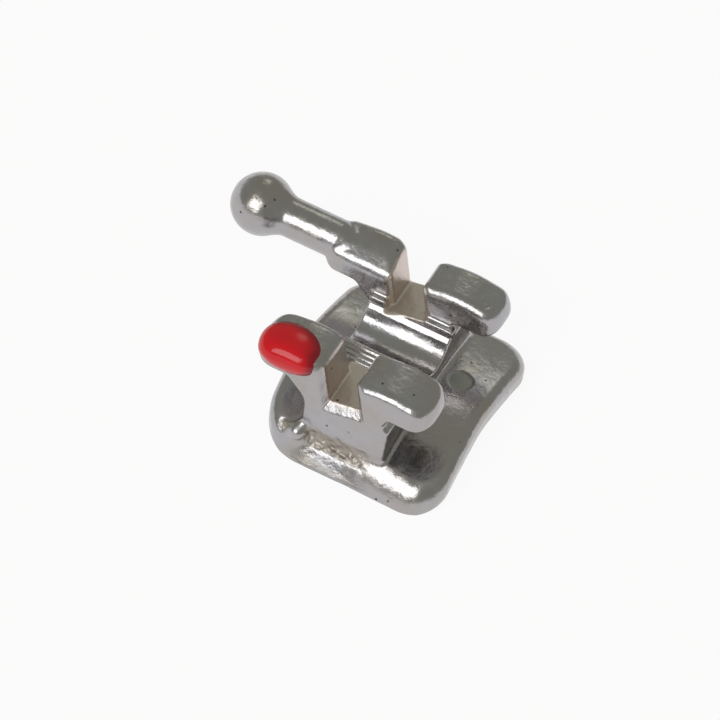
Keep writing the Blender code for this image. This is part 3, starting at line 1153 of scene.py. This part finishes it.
@dataclass(frozen=True)
class Hook:
    """The ball hook on the gum-side back wing."""

    shaft_radius: float = 0.34
    ball_radius: float = 0.53
    reach: float = 2.94
    drop: float = 0.34
    shoulder_run: float = 0.45
    shoulder_fall: float = 0.26
    shoulder_radius: float = 0.10
    neck_radius: float = 0.10
    root: float = 1.00
    root_taper: float = 0.50
    root_radius: float = 0.20

    def axis(self, body: Body) -> tuple[float, float]:
        """Find the axis, along the middle of its wing.

        Args:
            body: The body that carries the hook.

        Returns:
            Its Y and Z.
        """
        return (body.back_row.start + body.back_row.end) / 2, body.top - self.drop

    def distance(self, x: Array, y: Array, z: Array, body: Body) -> Array:
        """Measure the distance to the ball and its shaft.

        Args:
            x: Coordinates along the shaft.
            y: Coordinates across it.
            z: Heights.
            body: The body that carries the hook.

        Returns:
            The signed distance.
        """
        axis_y, axis_z = self.axis(body)
        ball_x = body.slot.x - self.reach
        away = np.hypot(y - axis_y, z - axis_z)
        root = body.slot.x - self.root
        thinner = np.clip((x - root) / self.root_taper + 1, 0, 1)
        radius = self.shaft_radius - (self.shaft_radius - self.root_radius) * thinner
        shaft = common(away - radius, np.maximum(ball_x - x, x - root), 0.0)
        ball = np.hypot(away, x - ball_x) - self.ball_radius
        return joined(shaft, ball, self.neck_radius)

    def shoulder(self, y: Array, z: Array, body: Body) -> Array:
        """Measure the distance to the slope on the hook wing's inner side.

        Args:
            y: Coordinates along the slot.
            z: Heights.
            body: The body that carries the hook.

        Returns:
            The signed distance, positive above the slope.
        """
        slope = math.atan2(self.shoulder_fall, self.shoulder_run)
        above = z - (body.top - self.shoulder_fall)
        return above * math.cos(slope) - (y - body.back_row.start) * math.sin(slope)


@dataclass(frozen=True)
class Bracket:
    """The one moulded piece: pad, body, wings, hook and slot."""

    body: Body = field(default_factory=Body)
    hook: Hook = field(default_factory=Hook)
    skin: Skin = field(default_factory=lambda: Skin(step=0.027))
    hook_root_radius: float = 0.035
    foot_grit: float = 0.016
    foot_reach: float = 0.17
    foot_end: float = 0.45
    foot_fade: float = 0.50
    foot_slack: float = 0.01
    coarse_grit: Grain = Grain(0.09, 4)
    fine_grit: Grain = Grain(0.04, 9)
    fine_share: float = 0.8
    under_levels: tuple[float, float] = (0.258, 0.387)
    ejector_fade: tuple[float, float] = (0.168, 0.231)
    ejector_level: float = 0.06
    slot_fade: tuple[float, float] = (0.01, 0.05)
    slot_end_fade: tuple[float, float] = (-0.16, -0.08)
    recess_edge: float = 0.015
    gate: tuple[float, float, float] = (-1.04, -1.66, 0.14)
    gate_radius: float = 0.15
    ring: tuple[float, float] = (0.83, 1.05)
    ring_radius: float = 0.05
    ring_width: float = 0.03
    ring_depth: float = 0.012
    ring_below_top: float = 0.3

    def distance(self, x: Array, y: Array, z: Array) -> Array:
        """Measure the distance to the whole piece.

        Args:
            x: Coordinates across the slot.
            y: Coordinates along it.
            z: Heights.

        Returns:
            The signed distance.
        """
        body = self.body
        slot = body.slot
        shape = body.distance(x, y, z)
        slope = self.hook.shoulder(y, z, body)
        shaped = common(shape, slope, self.hook.shoulder_radius)
        shape = np.where((x < slot.x) & (y > 0), shaped, shape)
        shape = joined(shape, self.hook.distance(x, y, z, body), self.hook_root_radius)
        edge = slot.edge(z, body.top)
        shape = cut(shape, slot.tool(x, y, z, body), edge)
        away = np.abs(np.hypot(x - self.ring[0], y - self.ring[1]) - self.ring_radius)
        ring = self.ring_depth * (1 - smooth_step(away, 0.0, self.ring_width))
        shape = shape + ring * (z > body.top - self.ring_below_top)
        shape = joined(shape, body.pad.distance(x, y, z), body.foot_radius)
        shape = cut(shape, body.pad.recess(x, y, z), self.recess_edge)
        gate = np.hypot(np.hypot(x - self.gate[0], y - self.gate[1]), z - self.gate[2])
        return joined(shape, gate - self.gate_radius, self.gate_radius)

    def marks(self, points: Array) -> dict[str, Array]:
        """Find where the tumbling media never reach, and where an ejector pin pressed.

        Args:
            points: Rows of x, y, z on the surface.

        Returns:
            The attributes "raw", "dull" and "slot", from 0 on polished faces to 1.
        """
        x, y, z = points.T
        body, pad = self.body, self.body.pad
        level = z + pad.drop(y) - pad.thickness
        in_front = np.maximum(-body.half_length - y, 0)
        beside = np.maximum(np.abs(x - body.slot.x) - body.occlusal_side, 0)
        away = np.hypot(np.hypot(in_front, np.maximum(level, 0)), beside)
        foot = 1 - smooth_step(away, self.foot_reach / 2, self.foot_reach)
        foot *= (y < -body.half_length + self.foot_slack) & (level > -self.foot_reach)
        foot *= 1 - smooth_step(x, self.foot_end - self.foot_fade, self.foot_end)
        under = smooth_step(-level, *self.under_levels)
        under *= smooth_step(-pad.outline().distance(x, y), pad.heel_radius, 2 * pad.heel_radius)
        ejector = np.hypot(x - pad.ejector_x, y - pad.ejector_y)
        dull = 1 - smooth_step(ejector, *self.ejector_fade)
        dull *= np.abs(level) < self.ejector_level
        wall = np.abs(body.slot.tool(x, y, z, body))
        slot = (1 - smooth_step(wall, *self.slot_fade)) * (z < body.top - body.slot.mouth_radius)
        slot *= 1 - smooth_step(np.abs(y) - body.half_length, *self.slot_end_fade)
        return {"raw": np.clip(np.maximum(foot, under), 0, 1), "dull": dull, "slot": slot}

    def build(self, steel: bpy.types.Material) -> bpy.types.Object:
        """Skin the piece and roughen its foot.

        Args:
            steel: Its finish.

        Returns:
            The piece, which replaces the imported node.
        """
        low, high = (np.array(corner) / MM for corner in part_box("bracket"))
        points, faces = self.skin.build(self.distance, low, high)
        marks = self.marks(points)
        _, normals = self.skin.slope(self.distance, points)
        lumps = self.coarse_grit.at(points) + self.fine_share * self.fine_grit.at(points)
        foot = marks["raw"] * (points[:, 2] > 0)
        points = points + normals * (self.foot_grit * foot * lumps)[:, None]
        piece = new_piece("steel_bracket", points, faces, steel, marks)
        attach(piece, BODY)
        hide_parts("bracket")
        return piece


@dataclass(frozen=True)
class EnamelMark:
    """The dab of enamel over the gum-side front wing."""

    length: float = 1.06
    width: float = 1.27
    height: float = 0.74
    sink: float = 0.19
    forward: float = 0.25
    thickness: float = 0.10
    rim_radius: float = 0.22
    hold: float = 0.02
    rim_fade: tuple[float, float] = (0.01, 0.08)
    skin: Skin = field(default_factory=lambda: Skin(step=0.016))

    def centre(self, body: Body) -> tuple[float, float, float]:
        """Find the middle of the dab.

        Args:
            body: The body that carries it.

        Returns:
            Its X, Y and Z.
        """
        x = body.tip() + self.width / 2 - self.thickness
        y = (body.front_row.start + body.front_row.end) / 2 - self.forward
        return x, y, body.top - self.sink

    def drop(self, x: Array, y: Array, z: Array, body: Body) -> Array:
        """Measure the distance to the oval that bounds the dab.

        Args:
            x: Coordinates across the slot.
            y: Coordinates along it.
            z: Heights.
            body: The body that carries it.

        Returns:
            The signed distance, near enough for a rounded rim.
        """
        cx, cy, cz = self.centre(body)
        u = (x - cx) / (self.width / 2)
        v = (y - cy) / (self.length / 2)
        w = (z - cz) / (self.height / 2)
        size = np.sqrt(u * u + v * v + w * w)
        steep = np.sqrt((u / self.width) ** 2 + (v / self.length) ** 2 + (w / self.height) ** 2)
        return size * (size - 1) / np.maximum(2 * steep, 1e-6)

    def build(self, bracket: Bracket, enamel: bpy.types.Material) -> bpy.types.Object:
        """Skin the dab over the steel.

        Args:
            bracket: The piece that it covers.
            enamel: Its finish.

        Returns:
            The piece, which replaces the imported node.
        """
        body = bracket.body

        def shape(x: Array, y: Array, z: Array) -> Array:
            """Measure the distance to the film.

            Args:
                x: Coordinates across the slot.
                y: Coordinates along it.
                z: Heights.

            Returns:
                The signed distance.
            """
            steel = bracket.distance(x, y, z)
            film = common(steel - self.thickness, self.drop(x, y, z, body), self.rim_radius)
            return cut(film, steel + self.hold, 0.0)

        low, high = (np.array(corner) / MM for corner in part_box("id_mark"))
        points, faces = self.skin.build(shape, low, high)
        depth = bracket.distance(*points.T)
        rim = 1 - smooth_step(depth, *self.rim_fade)
        piece = new_piece("enamel_mark", points, faces, enamel, {"rim": rim})
        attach(piece, BODY)
        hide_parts("id_mark")
        return piece


@dataclass(frozen=True)
class RetentionPosts:
    """Posts under the pad that the adhesive locks round, widest at their tips."""

    pitch: float = 0.44
    neck: float = 0.20
    head: float = 0.26
    root: float = 0.10
    corner_stretch: float = 1.35

    def tree(self, pad: Pad, steel: bpy.types.Material) -> bpy.types.NodeTree:
        """Build the node tree that lays the posts out.

        Args:
            pad: The pad that carries them; not used.
            steel: Their finish.

        Returns:
            A tree with every size as a named input.
        """
        tree = bpy.data.node_groups.new("retention_posts", "GeometryNodeTree")
        face = tree.interface
        face.new_socket("Geometry", in_out="OUTPUT", socket_type="NodeSocketGeometry")
        for name in ("Columns", "Rows"):
            face.new_socket(name, in_out="INPUT", socket_type="NodeSocketInt")
        for name in ("Pitch", "Neck", "Head", "Height", "Corner", "Tooth Radius"):
            face.new_socket(name, in_out="INPUT", socket_type="NodeSocketFloat")
        given = add_node(tree, "NodeGroupInput").outputs

        def span(count: bpy.types.NodeSocket) -> bpy.types.NodeSocket:
            """Find the distance from the first post to the last.

            Args:
                count: How many posts stand in the line.

            Returns:
                The distance.
            """
            gaps = calculate(tree, "SUBTRACT", count, 1.0)
            return calculate(tree, "MULTIPLY", gaps, given["Pitch"])

        grid = add_node(
            tree,
            "GeometryNodeMeshGrid",
            {},
            {
                "Size X": span(given["Columns"]),
                "Size Y": span(given["Rows"]),
                "Vertices X": given["Columns"],
                "Vertices Y": given["Rows"],
            },
        )
        spots = add_node(tree, "GeometryNodeMeshToPoints", {}, {0: grid.outputs["Mesh"]})
        place = add_node(tree, "GeometryNodeInputPosition").outputs[0]
        axes = add_node(tree, "ShaderNodeSeparateXYZ", {}, {0: place}).outputs
        outside = []
        for axis, stretch in ((0, 1.0), (1, self.corner_stretch)):
            away = calculate(tree, "ABSOLUTE", axes[axis])
            limit = calculate(tree, "MULTIPLY", given["Corner"], stretch)
            outside.append(calculate(tree, "GREATER_THAN", away, limit))
        kept = add_node(
            tree,
            "GeometryNodeDeleteGeometry",
            {"domain": "POINT"},
            {0: spots.outputs[0], "Selection": calculate(tree, "MULTIPLY", *outside)},
        )
        to_corner = math.sqrt(0.5)
        post = add_node(
            tree,
            "GeometryNodeMeshCone",
            {},
            {
                "Vertices": 4,
                "Side Segments": 2,
                "Radius Top": calculate(tree, "MULTIPLY", given["Neck"], to_corner),
                "Radius Bottom": calculate(tree, "MULTIPLY", given["Head"], to_corner),
                "Depth": given["Height"],
            },
        )
        turn = {0: post.outputs["Mesh"], "Rotation": (0.0, 0.0, math.radians(45))}
        turned = add_node(tree, "GeometryNodeTransform", {}, turn)
        inputs = {"Points": kept.outputs[0], "Instance": turned.outputs[0]}
        copies = add_node(tree, "GeometryNodeInstanceOnPoints", {}, inputs)
        radius = given["Tooth Radius"]
        square = calculate(tree, "MULTIPLY", axes[1], axes[1])
        inner = calculate(tree, "MULTIPLY", radius, radius)
        inner = calculate(tree, "SQRT", calculate(tree, "SUBTRACT", inner, square))
        fall = calculate(tree, "SUBTRACT", inner, radius)
        shift = add_node(tree, "ShaderNodeCombineXYZ", {}, {2: fall}).outputs[0]
        real = add_node(tree, "GeometryNodeRealizeInstances", {}, {0: copies.outputs[0]})
        inputs = {0: real.outputs[0], "Offset": shift}
        curved = add_node(tree, "GeometryNodeSetPosition", {}, inputs)
        inputs = {0: curved.outputs[0], "Material": steel}
        finished = add_node(tree, "GeometryNodeSetMaterial", {}, inputs)
        add_node(tree, "NodeGroupOutput", {}, {0: finished.outputs[0]})
        return tree

    def build(self, pad: Pad, steel: bpy.types.Material) -> bpy.types.Object:
        """Lay out the posts and make them a plain mesh.

        Args:
            pad: The pad that carries them.
            steel: Their finish.

        Returns:
            The piece.
        """
        inner_x = pad.width / 2 - pad.recess_border - self.head
        inner_y = pad.length / 2 - pad.recess_border - self.head
        values = {
            "Columns": 2 * int(inner_x / self.pitch) + 1,
            "Rows": 2 * int(inner_y / self.pitch) + 1,
            "Pitch": self.pitch * MM,
            "Neck": self.neck * MM,
            "Head": self.head * MM,
            "Height": (pad.recess_depth + self.root) * MM,
            "Corner": (inner_x - self.pitch / 4) * MM,
            "Tooth Radius": pad.tooth_radius * MM,
        }
        seed = new_object("posts_seed", bpy.data.meshes.new("posts_seed"))
        modifier = seed.modifiers.new("posts", "NODES")
        modifier.node_group = self.tree(pad, steel)
        for item in modifier.node_group.interface.items_tree:
            if item.in_out == "INPUT":
                modifier[item.identifier] = values[item.name]
        graph = bpy.context.evaluated_depsgraph_get()
        mesh = bpy.data.meshes.new_from_object(seed.evaluated_get(graph))
        bpy.data.objects.remove(seed, do_unlink=True)
        mesh.name = "retention_posts"
        raw = mesh.attributes.new("raw", "FLOAT", "POINT")
        raw.data.foreach_set("value", np.ones(len(mesh.vertices), np.float32))
        piece = new_object("retention_posts", mesh)
        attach(piece, BODY)
        return piece


@dataclass(frozen=True)
class Studio:
    """White paper under the part, a soft lamp in front and a dim room with one window."""

    paper: str = "#f4f4f4"
    paper_size: float = 8000.0
    paper_roughness: float = 0.9
    glow: float = 0.92
    room_colour: str = "#f9fcee"
    room: tuple[float, float] = (0.33, 0.37)
    room_heights: tuple[float, float] = (0.0, 0.45)
    window: float = 1.1
    window_towards: tuple[float, float, float] = (-0.21, 0.75, 0.625)
    window_outer: float = math.radians(9)
    window_inner: float = math.radians(3)
    backdrop: float = 0.96
    backdrop_start: float = math.radians(2)
    backdrop_end: float = math.radians(5)
    lamp_azimuth: float = math.radians(-15)
    lamp_elevation: float = math.radians(39)
    lamp_distance: float = 110.0
    lamp_size: float = 72.0
    lamp_power: float = 0.055

    @staticmethod
    def seen(tree: bpy.types.NodeTree) -> bpy.types.NodeSocket:
        """Tell the rays that show a background from those that light the part.

        Args:
            tree: The node tree to add to.

        Returns:
            1 for camera, glossy and transmission rays, or else 0.
        """
        rays = add_node(tree, "ShaderNodeLightPath").outputs
        shown = rays["Is Camera Ray"]
        for name in ("Is Glossy Ray", "Is Transmission Ray"):
            shown = calculate(tree, "MAXIMUM", shown, rays[name])
        return shown

    def floor(self) -> bpy.types.Object:
        """Lay the paper at the part's lowest point.

        Returns:
            The floor.
        """
        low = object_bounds()[0][2]
        half = self.paper_size * MM / 2
        mesh = bpy.data.meshes.new("paper_floor")
        corners = [(-half, -half, low), (half, -half, low), (half, half, low), (-half, half, low)]
        mesh.from_pydata(corners, [], [(0, 1, 2, 3)])
        made, tree, shader = new_material("matt_white_paper")
        shader.inputs["Base Color"].default_value = linear(self.paper)
        shader.inputs["Roughness"].default_value = self.paper_roughness
        share = calculate(tree, "MULTIPLY", self.seen(tree), self.glow)
        glow = add_node(tree, "ShaderNodeEmission", {}, {"Color": WHITE, "Strength": 1.0})
        mix_shaders(tree, share, shader, glow, "Material Output")
        mesh.materials.append(made)
        floor = new_object("paper_floor", mesh)
        floor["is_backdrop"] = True
        return floor

    def walls(self) -> None:
        """Fill the world with a dim room, its window and a low white backdrop."""
        world = bpy.data.worlds.new("studio_room")
        bpy.context.scene.world = world
        world.use_nodes = True
        tree = world.node_tree
        where = add_node(tree, "ShaderNodeTexCoord").outputs["Generated"]
        height = add_node(tree, "ShaderNodeSeparateXYZ", {}, {0: where}).outputs[2]
        level = spread(tree, height, self.room_heights, self.room, "SMOOTHSTEP")
        towards = {0: where, 1: Vector(self.window_towards).normalized()}
        facing = add_node(tree, "ShaderNodeVectorMath", {"operation": "DOT_PRODUCT"}, towards)
        edge = (math.cos(self.window_outer), math.cos(self.window_inner))
        window = spread(tree, facing.outputs["Value"], edge, (0.0, self.window), "SMOOTHSTEP")
        room = tree.nodes["Background"]
        room.inputs["Color"].default_value = linear(self.room_colour)
        tree.links.new(calculate(tree, "ADD", level, window), room.inputs["Strength"])
        edge = (math.sin(self.backdrop_start), math.sin(self.backdrop_end))
        low = spread(tree, height, edge, (1.0, 0.0), "SMOOTHSTEP")
        share = calculate(tree, "MULTIPLY", low, self.seen(tree))
        inputs = {"Color": WHITE, "Strength": self.backdrop}
        backdrop = add_node(tree, "ShaderNodeBackground", {}, inputs)
        mix_shaders(tree, share, room, backdrop, "World Output")

    def lamp(self) -> bpy.types.Object:
        """Hang one square soft lamp that faces the part.

        Returns:
            The lamp.
        """
        towards = direction(self.lamp_azimuth, self.lamp_elevation)
        light = bpy.data.lights.new("front_lamp", "AREA")
        light.shape = "SQUARE"
        light.size = self.lamp_size * MM
        light.energy = self.lamp_power
        lamp = new_object("front_lamp", light)
        lamp.location = towards * self.lamp_distance * MM
        lamp.rotation_euler = towards.to_track_quat("Z", "Y").to_euler()
        return lamp

    def build(self) -> None:
        """Set up the floor, the room and the lamp."""
        self.floor()
        self.walls()
        self.lamp()


@dataclass(frozen=True)
class PhotoCamera:
    """The camera of the photograph, fitted to the part's straight edges."""

    azimuth: float = math.radians(19.376)
    elevation: float = math.radians(50.897)
    roll: float = math.radians(9.815)
    distance: float = 120.0
    shift_right: float = -0.414
    shift_up: float = -0.246
    focal_length: float = 369.78
    sensor: float = 36.0
    nearest: float = 1.0
    farthest: float = 10000.0

    def build(self, slot: Slot) -> bpy.types.Object:
        """Place the camera, which aims at the middle of the slot's floor.

        Args:
            slot: The slot that the camera was fitted to.

        Returns:
            The scene's camera.
        """
        r = self.roll
        right = Vector((math.cos(self.azimuth), math.sin(self.azimuth), 0))
        back = direction(self.azimuth, self.elevation)
        up = back.cross(right)
        across = right * math.cos(r) + up * math.sin(r)
        upwards = up * math.cos(r) - right * math.sin(r)
        place = across * self.shift_right + upwards * self.shift_up + back * self.distance
        place += Vector((slot.x, 0, slot.z))
        data = bpy.data.cameras.new("photo_camera")
        data.lens = self.focal_length
        data.sensor_width = self.sensor
        data.clip_start = self.nearest * MM
        data.clip_end = self.farthest * MM
        camera = new_object("photo_camera", data)
        rotation = Matrix((across, upwards, back)).transposed()
        camera.matrix_world = Matrix.Translation(place * MM) @ rotation.to_4x4()
        bpy.context.scene.camera = camera
        return camera


def main() -> None:
    """Build the bracket, its mark and the studio, in that order."""
    logging.basicConfig(level=logging.INFO, format="%(name)s: %(message)s")
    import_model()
    steel = TumbledSteel().material()
    enamel = MarkEnamel().material()
    bracket = Bracket()
    for piece in (
        bracket.build(steel),
        RetentionPosts().build(bracket.body.pad, steel),
        EnamelMark().build(bracket, enamel),
    ):
        log.info("%s: %d faces", piece.name, len(piece.data.polygons))
    Studio().build()
    PhotoCamera().build(bracket.body.slot)
    bpy.context.scene.view_settings.view_transform = "Standard"


if __name__ == "__main__":
    main()
